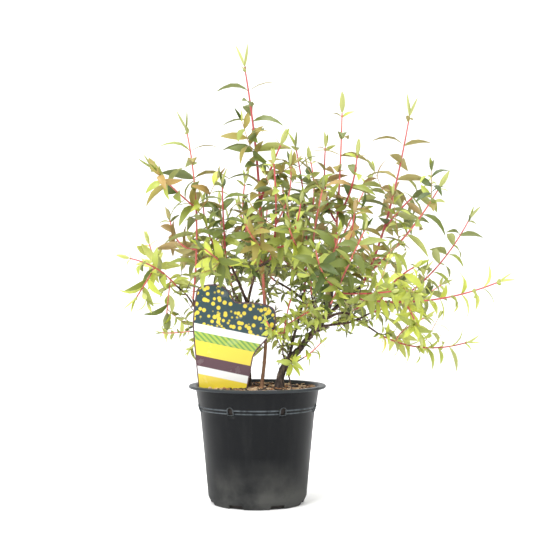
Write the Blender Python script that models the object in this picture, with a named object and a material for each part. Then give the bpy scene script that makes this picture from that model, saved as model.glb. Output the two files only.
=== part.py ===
"""A St John's wort shrub in its round nursery pot, as one part made of separate solids.

Every size below is in millimetres, and the meshes are written in metres. +Z is up, -Y is the
side that the label faces, and the origin is the middle of the pot's flat underside.
"""

import math
import random

import bmesh
import bpy
from mathutils import Matrix, Quaternion, Vector
from mathutils.bvhtree import BVHTree

MM = 0.001
UP = Vector((0, 0, 1))
GAP = 0.3  # left between pieces that touch

# Pot: a thin black shell with a flat rim, two fine rings at its step, and a chamfered foot
POT_HEIGHT = 154.0
RIM_RADIUS = 90.0
RIM_DEPTH = 3.6
NECK_RADIUS = 80.8  # under the rim
STEP_RADIUS = 77.4  # just above the step
BODY_RADIUS = 75.4  # just below the step
HIP_RADIUS = 64.5  # above the foot's chamfer
FOOT_RADIUS = 60.0
FOOT_CHAMFER = 9.5
STEP_Z = 127.4
RING_Z = 123.0
RING_SIZE = 0.7
WALL = 1.6
FLOOR = 2.0
POT_SIDES = 35
NOTCHES = 7  # pairs of an arched hole at the step and a drain in the foot
NOTCH_WIDTH = 7.0
NOTCH_LOW = 121.5
NOTCH_HIGH = 130.5
DRAIN_WIDTH = 22.0
DRAIN_HEIGHT = 5.5
SOIL_TOP = 149.0

# Label: a thin tag on a spike in the soil, seen from the front as (x, z, corner rounding)
LABEL_THICK = 0.8
LABEL_FOOT = SOIL_TOP + GAP
SPIKE_LEFT = -62.0
SPIKE_RIGHT = -30.0
SPIKE_DEPTH = 14.0
LABEL_Y = -13.0  # of its middle
LABEL_TURN = math.radians(6)  # its right side stands forward
LABEL_MIDDLE = -45.0
LABEL_CORNERS = (
    (SPIKE_LEFT, LABEL_FOOT, 0), (-77, LABEL_FOOT, 0), (-87, 250, 30), (-77, 286, 17), (-38, 286, 17),
    (-30, 263, 5), (8, 262, 12), (25, 254, 9), (24, 226, 9), (-4, 196, 8), (-13, LABEL_FOOT, 0),
    (SPIKE_RIGHT, LABEL_FOOT, 0), (SPIKE_RIGHT - 4, SOIL_TOP - SPIKE_DEPTH, 0),
    (SPIKE_LEFT + 4, SOIL_TOP - SPIKE_DEPTH, 0),
)

# Limbs: name, radius at the foot, radius at the tip, and the middle line's bends
LIMBS = {
    "trunk": (5.6, 3.0, (
        (28, 0, SOIL_TOP), (31, 1, 166), (38, 3, 182), (53, 5, 198), (74, 6, 224), (93, 6, 247))),
    "rear_leader": (2.2, 1.4, ((41, 4, 186), (46, 12, 208), (52, 20, 231), (60, 26, 258))),
    "tall_cane": (2.4, 2.0, ((5, 4, SOIL_TOP), (9, 3, 183), (11, 2, 220), (9, 0, 266), (6, 0, 315))),
    "forked_stem": (2.5, 2.2, ((-10, 10, SOIL_TOP), (-12, 10, 199), (-13, 8, 262))),
    "left_arm": (2.1, 1.4, ((-13, 8, 260), (-24, 6, 286), (-34, 4, 308))),
    "right_arm": (2.0, 1.3, ((-13, 8, 262), (-6, -8, 289), (2, -22, 307), (17, -42, 318))),
    "left_cane": (1.8, 1.4, ((-11, 10, 172), (-46, 14, 206), (-76, 11, 238), (-85, 5, 266))),
    "left_side_bough": (1.2, 1.0, ((-82, 7, 254), (-93, 4, 271), (-107, 0, 284))),
    "low_left_twig": (1.1, 0.8, ((-12, 9, 212), (-50, 2, 221), (-89, 0, 224))),
    "inner_left_bough": (2.0, 1.3, ((82, 6, 234), (63, 20, 262), (44, 30, 278), (22, 42, 291))),
    "inner_upright_bough": (1.5, 1.1, ((75, 5, 226), (75, -10, 250), (70, -28, 273))),
    "upper_bough": (2.2, 1.6, ((92, 6, 246), (98, 6, 268), (97, 8, 291))),
    "right_bough": (2.4, 1.7, ((91, 6, 245), (116, 1, 266), (137, -6, 284))),
    "arching_bough": (1.8, 1.3, ((89, 6, 242), (112, -20, 261), (132, -34, 267))),
    "drooping_bough": (1.9, 1.1, (
        (84, 6, 236), (107, 16, 247), (126, 22, 245), (145, 27, 231), (162, 30, 219))),
    "rising_bough": (1.8, 1.2, ((80, 6, 230), (103, 24, 232), (126, 36, 235), (150, 40, 246))),
    "back_bough": (2.2, 1.4, ((90, 6, 244), (90, 50, 263), (84, 92, 286))),
    "low_back_bough": (1.8, 1.2, ((72, 6, 220), (90, 50, 226), (116, 95, 238))),
    "front_bough": (1.9, 1.2, ((67, 6, 215), (81, -40, 235), (93, -78, 262))),
    "back_left_bough": (1.8, 1.2, ((-12, 10, 228), (-24, 44, 258), (-36, 78, 280))),
    "dead_stick": (1.1, 0.8, ((37, 3, 178), (41, -12, 166), (45, -24, SOIL_TOP + 1))),
    "foot_shoot": (1.2, 0.8, ((36, 2, 178), (50, -12, 184), (61, -18, 191))),
    "thin_upright": (1.1, 0.8, ((37, 3, 181), (33, -12, 200), (35, -18, 219))),
}
GROUNDED = ("trunk", "tall_cane", "forked_stem")
ROOT_FLARE = 1.35  # of the radius, where such a limb meets the soil
FLARE_HEIGHT = 12.0
LIMB_SIDES = 6
LIMB_STEP = 15.0  # between the rings of a limb
LIMB_ROOM = 8.0  # between the middle lines of limbs that may touch

# Foliage: node, the limb it grows on, its tint, then its shoots. The first shoot is the stem, and
# the others leave it at a share of its length. Each has the middle and the tip of its line,
# and the length of its largest leaf.
FOLIAGE = {
    "foliage_top": ("tall_cane", "bronze", (
        (0.00, (0, -4, 440), (-16, -8, 566), 38),
        (0.05, (-16, 14, 362), (-18, 30, 417), 28),
        (0.30, (14, -26, 425), (29, -44, 461), 30))),
    "foliage_left_tall": ("left_cane", "bronze", (
        (0.00, (-81, 10, 379), (-94, 20, 487), 36),
        (0.52, (-103, -12, 405), (-131, -28, 432), 34),
        (0.28, (-105, 40, 341), (-120, 62, 370), 28))),
    "foliage_left_side": ("left_side_bough", "lime", (
        (0.00, (-131, -12, 306), (-163, -18, 319), 25),
        (0.15, (-119, 12, 261), (-122, 20, 235), 19),
        (0.50, (-142, -40, 289), (-152, -52, 271), 20),
        (0.35, (-136, 28, 315), (-146, 44, 337), 23))),
    "foliage_low_left": ("low_left_twig", "lime", (
        (0.00, (-107, 1, 222), (-124, 0, 222), 13),)),
    "foliage_left_fan": ("left_arm", "green", (
        (0.00, (-62, 25, 345), (-74, 45, 391), 29),
        (0.10, (-43, -30, 361), (-44, -50, 409), 29),
        (0.30, (-75, 62, 316), (-93, 92, 341), 27),
        (0.12, (-45, -45, 315), (-63, -78, 329), 25))),
    "foliage_front_left": ("right_arm", "green", (
        (0.00, (24, -70, 364), (22, -88, 433), 29),
        (0.20, (42, -92, 341), (54, -118, 382), 27),
        (0.12, (2, -80, 337), (-12, -112, 358), 27),
        (0.45, (40, -60, 398), (43, -52, 434), 27))),
    "foliage_middle": ("rear_leader", "green", (
        (0.00, (65, 42, 359), (52, 56, 468), 31),
        (0.35, (45, 78, 367), (34, 104, 417), 27),
        (0.50, (76, 66, 403), (73, 84, 452), 29),
        (0.20, (38, 80, 316), (16, 112, 350), 25))),
    "foliage_inner_left": ("inner_left_bough", "green", (
        (0.00, (-6, 60, 329), (-25, 82, 385), 27),
        (0.15, (5, 92, 313), (-15, 128, 339), 25),
        (0.30, (8, 44, 345), (13, 52, 394), 27))),
    "foliage_inner_front": ("inner_upright_bough", "green", (
        (0.00, (71, -52, 335), (82, -74, 402), 29),
        (0.30, (54, -86, 326), (41, -118, 353), 25),
        (0.20, (89, -82, 314), (100, -116, 343), 25))),
    "foliage_crown": ("upper_bough", "bronze", (
        (0.00, (106, 6, 386), (111, -2, 507), 34),
        (0.40, (91, 16, 403), (90, 24, 465), 29),
        (0.45, (120, -26, 405), (128, -42, 448), 29),
        (0.15, (113, -50, 327), (122, -78, 372), 27))),
    "foliage_right_tall": ("right_bough", "bronze", (
        (0.00, (170, -6, 373), (199, 0, 502), 37),
        (0.10, (193, -24, 350), (232, -38, 407), 32),
        (0.42, (196, 36, 391), (225, 58, 417), 22))),
    "foliage_arching": ("arching_bough", "lime", (
        (0.00, (215, -70, 266), (298, -86, 288), 24),
        (0.32, (193, -88, 249), (200, -96, 230), 21),
        (0.15, (168, -92, 287), (189, -126, 306), 25))),
    "foliage_rising": ("rising_bough", "green", (
        (0.00, (225, 48, 291), (287, 64, 371), 29),
        (0.30, (216, 92, 263), (257, 128, 283), 23))),
    "foliage_drooping": ("drooping_bough", "lime", (
        (0.00, (216, 18, 202), (273, 8, 208), 22),
        (0.20, (199, 60, 223), (230, 92, 238), 21))),
    "foliage_back_right": ("back_bough", "green", (
        (0.00, (118, 124, 351), (154, 152, 426), 29),
        (0.20, (95, 132, 348), (88, 168, 407), 27),
        (0.15, (138, 134, 308), (190, 168, 335), 27),
        (0.08, (58, 128, 311), (33, 160, 340), 27))),
    "foliage_low_back": ("low_back_bough", "green", (
        (0.00, (160, 118, 264), (206, 150, 290), 25),
        (0.20, (130, 138, 281), (127, 176, 319), 25))),
    "foliage_front": ("front_bough", "green", (
        (0.00, (111, -112, 306), (129, -146, 349), 28),
        (0.20, (83, -118, 297), (72, -156, 325), 26),
        (0.15, (129, -112, 275), (160, -146, 278), 23))),
    "foliage_back_left": ("back_left_bough", "green", (
        (0.00, (-49, 108, 336), (-56, 138, 397), 28),
        (0.20, (-69, 118, 308), (-99, 150, 328), 25),
        (0.15, (-18, 120, 317), (-10, 150, 357), 26))),
    "foliage_foot": ("foot_shoot", "lime", (
        (0.00, (70, -24, 198), (81, -30, 209), 15),)),
    "foliage_inner_low": ("thin_upright", "lime", (
        (0.00, (37, -32, 240), (43, -48, 266), 17),
        (0.10, (22, -32, 225), (13, -44, 238), 15),
        (0.30, (52, -44, 243), (65, -60, 251), 15))),
}
SHOOT_TIP_RADIUS = 0.6
SIDE_SHOOT = 0.75  # a side shoot's radius, of its stem's
TWIG_RADIUS = 0.7
SHOOT_STEP = 26.0  # between the rings of a shoot
LEAF_SCALE = 1.35  # larger than life, as there are fewer leaves than on the shrub
NODE_SPACING = 1.9  # between leaf pairs, in leaf lengths
LEAF_WIDTH = 0.38  # of its length
LEAF_THICK = 0.9
LEAF_WIDEST = 0.42  # of its length, from its root
ROOT_SHARE = 0.2  # of a leaf that may touch its own mass
LEAF_ARCH = 0.09  # how far its back rises, of its length
LEAF_ANGLE = math.radians(58)  # from the shoot, half way up it
TIP_ANGLE = math.radians(13)  # of the folded pair that ends a shoot
TIP_LEAF = 0.72  # of the shoot's leaf length
TIP_ARCH = -0.05
LEAF_SUNK = 0.12  # of a leaf's root, past the middle of its twig
TIP_SUNK = 0.5
LEAF_DROOP = 0.22
TWIG_EVERY = 105.0  # along a shoot
TWIG_ANGLE = math.radians(48)
TWIG_LEAF = 0.8  # of the shoot's leaf length
CLEARANCE = 0.8  # kept between one mass and every other solid
SEED = 41

# Colours (linear) and roughness
FINISHES = {
    "pot": ((0.012, 0.014, 0.016), 0.42),
    "soil": ((0.090, 0.045, 0.020), 0.95),
    "label": ((0.62, 0.60, 0.16), 0.35),
    "bark": ((0.060, 0.032, 0.022), 0.85),
    "cane": ((0.330, 0.070, 0.060), 0.50),
    "green": ((0.150, 0.200, 0.045), 0.50),
    "lime": ((0.280, 0.330, 0.060), 0.50),
    "bronze": ((0.190, 0.170, 0.055), 0.50),
}


def clear_scene():
    for old in list(bpy.data.objects):
        bpy.data.objects.remove(old)


def paint(piece, finish):
    """Give a piece its own Principled material in one of the finishes."""
    colour, roughness = FINISHES[finish]
    material = bpy.data.materials.new(piece.name)
    material.use_nodes = True
    shader = material.node_tree.nodes["Principled BSDF"]
    shader.inputs["Base Color"].default_value = (*colour, 1)
    shader.inputs["Roughness"].default_value = roughness
    shader.inputs["Metallic"].default_value = 0
    piece.data.materials.append(material)


def make_object(bm, name, smooth=False):
    """Turn a bmesh in millimetres into an object in metres, its faces pointing out."""
    bmesh.ops.recalc_face_normals(bm, faces=bm.faces)
    if bm.calc_volume(signed=True) < 0:
        bmesh.ops.reverse_faces(bm, faces=bm.faces)
    bmesh.ops.scale(bm, vec=(MM, MM, MM), verts=bm.verts)
    mesh = bpy.data.meshes.new(name)
    bm.to_mesh(mesh)
    bm.free()
    if smooth:
        mesh.shade_smooth()
        mesh.set_sharp_from_angle(angle=math.radians(35))
    piece = bpy.data.objects.new(name, mesh)
    bpy.context.scene.collection.objects.link(piece)
    return piece


def combine(piece, tools, operation, solver="EXACT"):
    """Apply one Boolean of a piece with a collection of tools, and remove the tools."""
    if not tools:
        return
    group = bpy.data.collections.new("tools")
    bpy.context.scene.collection.children.link(group)
    for tool in tools:
        group.objects.link(tool)
    change = piece.modifiers.new(operation.lower(), "BOOLEAN")
    change.operation = operation
    change.operand_type = "COLLECTION"
    change.collection = group
    change.solver = solver
    evaluated = piece.evaluated_get(bpy.context.evaluated_depsgraph_get())
    result = bpy.data.meshes.new_from_object(evaluated)
    piece.modifiers.clear()
    piece.data = result
    for tool in tools:
        bpy.data.objects.remove(tool)
    bpy.data.collections.remove(group)


def keep_largest_shell(piece):
    """Fill the hollows that fusing sealed and drop loose scraps, by keeping the largest shell."""
    bm = bmesh.new()
    bm.from_mesh(piece.data)
    waiting = set(bm.verts)
    shells = []
    while waiting:
        shell = {waiting.pop()}
        edge = list(shell)
        while edge:
            reached = {link.other_vert(vert) for vert in edge for link in vert.link_edges} - shell
            shell |= reached
            edge = list(reached)
        waiting -= shell
        shells.append(shell)
    largest = max(shells, key=len)
    bmesh.ops.delete(bm, geom=[vert for vert in bm.verts if vert not in largest], context="VERTS")
    bm.to_mesh(piece.data)
    bm.free()


# Pot, soil and label

def pot_outside():
    """Points (radius, height) up the outside of the pot, from its foot to under the rim."""
    hip_to_step = (BODY_RADIUS - HIP_RADIUS) / (RING_Z - FOOT_CHAMFER)
    below = BODY_RADIUS - 2 * RING_SIZE * hip_to_step
    return [
        (FOOT_RADIUS, 0), (HIP_RADIUS, FOOT_CHAMFER),
        (below, RING_Z - RING_SIZE), (BODY_RADIUS + RING_SIZE, RING_Z), (BODY_RADIUS, RING_Z + RING_SIZE),
        (BODY_RADIUS + 0.2, STEP_Z - 2 * RING_SIZE), (STEP_RADIUS + RING_SIZE, STEP_Z - RING_SIZE),
        (STEP_RADIUS, STEP_Z), (NECK_RADIUS, POT_HEIGHT - RIM_DEPTH - 1),
    ]


def pot_inside(clear=0.0):
    """Points (radius, height) down the inside of the wall, from the rim to the floor."""
    wall = WALL + clear
    return [
        (NECK_RADIUS + 0.3 - clear, POT_HEIGHT), (NECK_RADIUS - wall, POT_HEIGHT - RIM_DEPTH),
        (STEP_RADIUS - wall, STEP_Z), (BODY_RADIUS - wall, RING_Z - 1),
        (HIP_RADIUS - wall, FOOT_CHAMFER), (FOOT_RADIUS - wall, FLOOR + clear),
    ]


def turned(profile):
    """Spin an open profile of (radius, height) points round the Z axis into a closed solid."""
    bm = bmesh.new()
    corners = [bm.verts.new((radius, 0, height)) for radius, height in profile]
    edges = [bm.edges.new(pair) for pair in zip(corners, corners[1:])]
    bmesh.ops.spin(bm, geom=corners + edges, axis=UP, cent=(0, 0, 0), angle=math.tau,
                   steps=POT_SIDES, use_merge=True)
    bmesh.ops.remove_doubles(bm, verts=bm.verts, dist=0.01)
    return bm


def notch_cutter(turn, outline, inner, outer, name):
    """A prism that cuts a hole of the outline (across, height) through the wall at one angle."""
    bm = bmesh.new()
    face = bm.faces.new([bm.verts.new((across, -inner, height)) for across, height in outline])
    new = bmesh.ops.extrude_face_region(bm, geom=[face], use_keep_orig=True)["geom"]
    moved = [item for item in new if isinstance(item, bmesh.types.BMVert)]
    bmesh.ops.translate(bm, vec=(0, inner - outer, 0), verts=moved)
    bmesh.ops.rotate(bm, verts=bm.verts, cent=(0, 0, 0), matrix=Matrix.Rotation(turn, 3, "Z"))
    return make_object(bm, name)


def notch_turns():
    """The seven directions round the pot, with the front midway between two of them."""
    return [math.tau * (n + 0.5) / NOTCHES for n in range(NOTCHES)]


def make_pot():
    rim = [
        (RIM_RADIUS - 1, POT_HEIGHT - RIM_DEPTH), (RIM_RADIUS, POT_HEIGHT - RIM_DEPTH + 0.8),
        (RIM_RADIUS, POT_HEIGHT - 0.8), (RIM_RADIUS - 0.8, POT_HEIGHT),
    ]
    profile = [(0, 0)] + pot_outside() + rim + pot_inside() + [(0, FLOOR)]
    pot = make_object(turned(profile), "pot", smooth=True)
    half = NOTCH_WIDTH / 2
    arch = [(-half, NOTCH_LOW), (half, NOTCH_LOW), (half, NOTCH_HIGH - half)]
    arch += [(half * math.cos(a), NOTCH_HIGH - half + half * math.sin(a))
             for a in (math.pi / 4, math.pi / 2, 3 * math.pi / 4)]
    arch += [(-half, NOTCH_HIGH - half)]
    side = DRAIN_WIDTH / 2
    drain = [(-side, -1), (side, -1), (side - 2, DRAIN_HEIGHT), (2 - side, DRAIN_HEIGHT)]
    tools = []
    for turn in notch_turns():
        tools.append(notch_cutter(turn, arch, BODY_RADIUS - 5, STEP_RADIUS + 5, "hole"))
        tools.append(notch_cutter(turn, drain, FOOT_RADIUS - 4, HIP_RADIUS + 5, "drain"))
    combine(pot, tools, "DIFFERENCE")
    paint(pot, "pot")


def label_place():
    """The turn and the shift that put a plate in the XZ plane where the label stands."""
    return Matrix.Translation((LABEL_MIDDLE, LABEL_Y, 0)) @ Matrix.Rotation(-LABEL_TURN, 4, "Z")


def label_plate():
    """The tag's plate, which faces the front."""
    bm = bmesh.new()
    corners = [(bm.verts.new((x - LABEL_MIDDLE, -LABEL_THICK / 2, z)), rounding)
               for x, z, rounding in LABEL_CORNERS]
    bm.faces.new([vert for vert, _ in corners])
    for vert, rounding in corners:
        if rounding:
            bmesh.ops.bevel(bm, geom=[vert], offset=rounding, segments=3, profile=0.5,
                            affect="VERTICES", material=-1)
    new = bmesh.ops.extrude_face_region(bm, geom=bm.faces[:], use_keep_orig=True)["geom"]
    back = [item for item in new if isinstance(item, bmesh.types.BMVert)]
    bmesh.ops.translate(bm, vec=(0, LABEL_THICK, 0), verts=back)
    bmesh.ops.remove_doubles(bm, verts=bm.verts, dist=0.01)
    bmesh.ops.transform(bm, matrix=label_place(), verts=bm.verts)
    return bm


def slot_cutter():
    """The slot that the label's spike stands in, open at the soil's surface."""
    bm = bmesh.new()
    width = SPIKE_RIGHT - SPIKE_LEFT + 2 * GAP
    middle = Vector(((SPIKE_LEFT + SPIKE_RIGHT) / 2 - LABEL_MIDDLE, 0, SOIL_TOP))
    size = Vector((width, LABEL_THICK + 2 * GAP, 2 * (SPIKE_DEPTH + GAP)))
    bmesh.ops.create_cube(bm, size=1, matrix=label_place() @ Matrix.LocRotScale(middle, None, size))
    return make_object(bm, "slot")


def make_soil():
    inside = [point for point in pot_inside(GAP) if point[1] < SOIL_TOP]
    neck, shoulder = pot_inside(GAP)[1:3]
    share = (SOIL_TOP - shoulder[1]) / (neck[1] - shoulder[1])
    edge = shoulder[0] + share * (neck[0] - shoulder[0])
    profile = [(0, SOIL_TOP), (edge, SOIL_TOP)] + inside + [(0, FLOOR + GAP)]
    soil = make_object(turned(profile), "soil", smooth=True)
    combine(soil, [slot_cutter()], "DIFFERENCE")
    paint(soil, "soil")


def make_label():
    paint(make_object(label_plate(), "label"), "label")


# Lines and tubes

def smooth_line(bends, step):
    """Points about a step apart on a smooth curve through the bends."""
    bends = [Vector(bend) for bend in bends]
    ends = [2 * bends[0] - bends[1]] + bends + [2 * bends[-1] - bends[-2]]
    line = [bends[0]]
    for before, start, end, after in zip(ends, ends[1:], ends[2:], ends[3:]):
        parts = max(1, round((end - start).length / step))
        for part in range(1, parts + 1):
            t = part / parts
            line.append(0.5 * (2 * start + (end - before) * t
                               + (2 * before - 5 * start + 4 * end - after) * t ** 2
                               + (3 * start - before - 3 * end + after) * t ** 3))
    return line


def bowed_line(root, middle, tip, step):
    """Points on the one bow that starts at the root and passes the middle on its way to the tip."""
    pull = 2 * middle - (root + tip) / 2
    parts = max(2, round((tip - root).length / step))
    shares = [part / parts for part in range(parts + 1)]
    return [(1 - t) ** 2 * root + 2 * t * (1 - t) * pull + t ** 2 * tip for t in shares]


def directions(line):
    ends = [line[0]] + line + [line[-1]]
    return [(after - before).normalized() for before, after in zip(ends, ends[2:])]


def point_on(line, share):
    """The place and the direction at a share of a line's points."""
    spot = min(share, 0.9999) * (len(line) - 1)
    start = int(spot)
    heading = (line[start + 1] - line[start]).normalized()
    return line[start].lerp(line[start + 1], spot - start), heading


def tube(line, radii, sides, first_facing=None):
    """A closed tapering tube; its first section can face a given way."""
    facings = directions(line)
    if first_facing:
        facings[0] = first_facing
    turn = UP.rotation_difference(facings[0])
    sections = []
    for n, (centre, radius, facing) in enumerate(zip(line, radii, facings)):
        turn = facings[max(n - 1, 0)].rotation_difference(facing) @ turn
        sections.append(Matrix.LocRotScale(centre, turn, Vector((radius, radius, radius))))
    bm = bmesh.new()
    bmesh.ops.create_circle(bm, radius=1, segments=sides, matrix=sections[0])
    first = ring = bm.edges[:]
    for section, before in zip(sections[1:], sections):
        new = bmesh.ops.extrude_edge_only(bm, edges=ring)["geom"]
        ring = [item for item in new if isinstance(item, bmesh.types.BMEdge)
                and all(vert in new for vert in item.verts)]
        verts = [item for item in new if isinstance(item, bmesh.types.BMVert)]
        bmesh.ops.transform(bm, matrix=section @ before.inverted(), verts=verts)
    bmesh.ops.holes_fill(bm, edges=first + ring, sides=sides)
    bmesh.ops.recalc_face_normals(bm, faces=bm.faces)
    return bm


# Limbs

def limb_line(name):
    line = smooth_line(LIMBS[name][2], LIMB_STEP)
    if name in GROUNDED:
        line[0] = line[0] + UP * GAP
    return line


def limb_tube(name, grow=0.0):
    """A limb's solid, or one that is larger all round, to cut its neighbours clear of it."""
    foot, tip, _ = LIMBS[name]
    line = limb_line(name)
    radii = [foot + (tip - foot) * n / (len(line) - 1) + grow for n in range(len(line))]
    facing = None
    if name in GROUNDED:
        facing = UP
        for n, point in enumerate(line):
            fade = max(0, 1 - (point.z - SOIL_TOP) / FLARE_HEIGHT)
            radii[n] *= 1 + (ROOT_FLARE - 1) * fade ** 2
    if grow:
        line[-1] = line[-1] + directions(line)[-1] * grow
    return tube(line, radii, LIMB_SIDES, facing)


def boxes_meet(one, other, room):
    """True where the boxes round two sets of points come within some room of each other."""
    low, high = limits(one)
    other_low, other_high = limits(other)
    return all(low[i] < other_high[i] + room and other_low[i] < high[i] + room for i in range(3))


def limits(points):
    points = list(points)
    return [min(p[i] for p in points) for i in range(3)], [max(p[i] for p in points) for i in range(3)]


def make_limbs(taken):
    """Make the limbs in order, each cut clear of those before it that it starts in or passes."""
    made = []
    for name in LIMBS:
        limb = make_object(limb_tube(name), name, smooth=True)
        near = [other for other in made if boxes_meet(limb_line(name), limb_line(other), LIMB_ROOM)]
        combine(limb, [make_object(limb_tube(other, GAP), "cutter") for other in near], "DIFFERENCE")
        paint(limb, "cane" if name == "tall_cane" else "bark")
        taken.add(name, limb_tube(name))
        made.append(name)


# Foliage

class Taken:
    """The solids that are already placed, so that leaves and twigs can keep clear of them."""

    def __init__(self):
        self.solids = []

    def add(self, owner, bm):
        low, high = limits(vert.co for vert in bm.verts)
        self.solids.append((owner, low, high, BVHTree.FromBMesh(bm)))
        bm.free()

    def is_free(self, owner, bm):
        """True where a shape touches no solid but its owner's."""
        low, high = limits(vert.co for vert in bm.verts)
        tree = BVHTree.FromBMesh(bm)
        bm.free()
        for other, other_low, other_high, other_tree in self.solids:
            if other == owner:
                continue
            if any(low[i] > other_high[i] or other_low[i] > high[i] for i in range(3)):
                continue
            if tree.overlap(other_tree):
                return False
        return True


class Shoot:
    """One twig: its middle line, its radii, its leaf length, and how its foot faces."""

    def __init__(self, line, radius, leaf, facing=None):
        self.line = line
        self.leaf = leaf
        self.facing = facing
        last = len(line) - 1
        self.radii = [radius + (SHOOT_TIP_RADIUS - radius) * n / last for n in range(last + 1)]

    def length(self):
        return sum((b - a).length for a, b in zip(self.line, self.line[1:]))

    def solid(self, grow=0.0):
        return tube(self.line, [radius + grow for radius in self.radii], 3, self.facing)


def leaf_solid(root, heading, back, length, arch, grow=0.0):
    """An eight-sided leaf from its root along its heading; its upper side faces back."""
    across = heading.cross(back).normalized()
    back = across.cross(heading)
    width = length * LEAF_WIDTH + 2 * grow
    thick = LEAF_THICK + 2 * grow
    bm = bmesh.new()
    bmesh.ops.create_uvsphere(bm, u_segments=4, v_segments=2, radius=1)
    for vert in bm.verts:
        share = vert.co.z
        reach = LEAF_WIDEST if share < 0 else 1 - LEAF_WIDEST
        along = length * (LEAF_WIDEST + reach * share) + grow * share
        rise = length * arch * (1 - share ** 2) + vert.co.y * thick / 2
        vert.co = root + heading * along + back * rise + across * (vert.co.x * width / 2)
    return bm


def blade_of(leaf):
    """A leaf without its root, which is what has to keep clear of its own mass."""
    root, heading, back, length, arch = leaf
    start = root + heading * length * ROOT_SHARE
    return leaf_solid(start, heading, back, length * (1 - ROOT_SHARE), arch)


def leaf_pairs(shoot, rng):
    """Root, heading, back, length and arch of every leaf on a shoot, each pair square to the last."""
    count = max(1, round(shoot.length() / (shoot.leaf * NODE_SPACING)))
    spin = rng.uniform(0, math.pi)
    for n in range(count + 1):
        tip = n == count
        share = 1.0 if tip else (n + 0.6) / (count + 0.4)
        spot, up = point_on(shoot.line, share)
        angle = TIP_ANGLE if tip else LEAF_ANGLE * (1.12 - 0.3 * share)
        size = TIP_LEAF if tip else 0.7 + 0.3 * math.sin(math.pi * min(1, share * 0.9))
        for half in range(2):
            way = up.orthogonal()
            way.rotate(Quaternion(up, spin + n * math.pi / 2 + half * math.pi + rng.uniform(-0.1, 0.1)))
            tilt = angle * rng.uniform(0.9, 1.1)
            heading = up * math.cos(tilt) + way * math.sin(tilt)
            if not tip:
                heading = (heading - UP * LEAF_DROOP).normalized()
            root = spot - heading * (TIP_SUNK if tip else LEAF_SUNK)
            length = shoot.leaf * size * LEAF_SCALE * rng.uniform(0.92, 1.08)
            yield root, heading, up, length, TIP_ARCH if tip else LEAF_ARCH


def side_twigs(shoot, rng, young):
    """Short twigs along a shoot; a young stem bears them only on its lower part."""
    length = shoot.length()
    for n in range(round(length * (0.55 if young else 1) / TWIG_EVERY)):
        share = min(0.85, (n + rng.uniform(0.25, 0.75)) * TWIG_EVERY / length)
        root, up = point_on(shoot.line, share)
        side = up.orthogonal()
        side.rotate(Quaternion(up, rng.uniform(0, math.tau)))
        heading = up * math.cos(TWIG_ANGLE) + side * math.sin(TWIG_ANGLE)
        reach = shoot.leaf * rng.uniform(1.1, 1.6)
        tip = root + heading * reach + UP * reach * 0.25
        line = bowed_line(root, root + heading * reach * 0.5, tip, SHOOT_STEP)
        yield Shoot(line, TWIG_RADIUS, shoot.leaf * TWIG_LEAF)


def main_shoots(limb, rows):
    """The stem, which meets its limb's tip, and the shoots that leave it."""
    line = limb_line(limb)
    facing = directions(line)[-1]
    radius = LIMBS[limb][1]
    shoots = []
    for share, middle, tip, leaf in rows:
        middle, tip = Vector(middle), Vector(tip)
        if not shoots:
            stem = bowed_line(line[-1] + facing * GAP, middle, tip, SHOOT_STEP)
            shoots.append(Shoot(stem, radius, leaf, facing))
        else:
            root, _ = point_on(shoots[0].line, share)
            side = bowed_line(root, middle, tip, SHOOT_STEP)
            shoots.append(Shoot(side, radius * SIDE_SHOOT, leaf))
    return shoots


def make_foliage(taken):
    """Place every stem first, then the twigs, then the leaves, and fuse each mass into one solid."""
    grown = {}
    for node, (limb, _, rows) in FOLIAGE.items():
        grown[node] = main_shoots(limb, rows)
        for shoot in grown[node]:
            taken.add(node, shoot.solid())
    twigs = {node: [] for node in grown}
    for number, (node, shoots) in enumerate(grown.items()):
        rng = random.Random(SEED + number)
        for n, shoot in enumerate(shoots):
            for twig in side_twigs(shoot, rng, young=n == 0):
                if taken.is_free(node, twig.solid(CLEARANCE)):
                    taken.add(node, twig.solid())
                    twigs[node].append(twig)
    for number, node in enumerate(grown):
        rng = random.Random(SEED * 2 + number)
        pieces = []
        for shoot in grown[node] + twigs[node]:
            pieces.append(make_object(shoot.solid(), "twig"))
            for leaf in leaf_pairs(shoot, rng):
                room = leaf_solid(*leaf, grow=CLEARANCE)
                if taken.is_free(node, room) and taken.is_free(None, blade_of(leaf)):
                    taken.add(node, leaf_solid(*leaf))
                    pieces.append(make_object(leaf_solid(*leaf), "leaf"))
        mass = pieces.pop(0)
        mass.name = node
        combine(mass, pieces, "UNION", "MANIFOLD")
        keep_largest_shell(mass)
        paint(mass, FOLIAGE[node][1])


def main():
    clear_scene()
    make_pot()
    make_soil()
    make_label()
    taken = Taken()
    taken.add("label", label_plate())
    make_limbs(taken)
    make_foliage(taken)


main()
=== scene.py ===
"""Looks for a St John's wort shrub in its round nursery pot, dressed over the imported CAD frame.

Sizes are in millimetres until a mesh is finished, and then in metres. +Z is up, -Y is the side
that the label faces, and the origin is the middle of the pot's flat underside.
"""

import math
import random

import bmesh
import bpy
from mathutils import Matrix, Quaternion, Vector, noise


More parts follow.
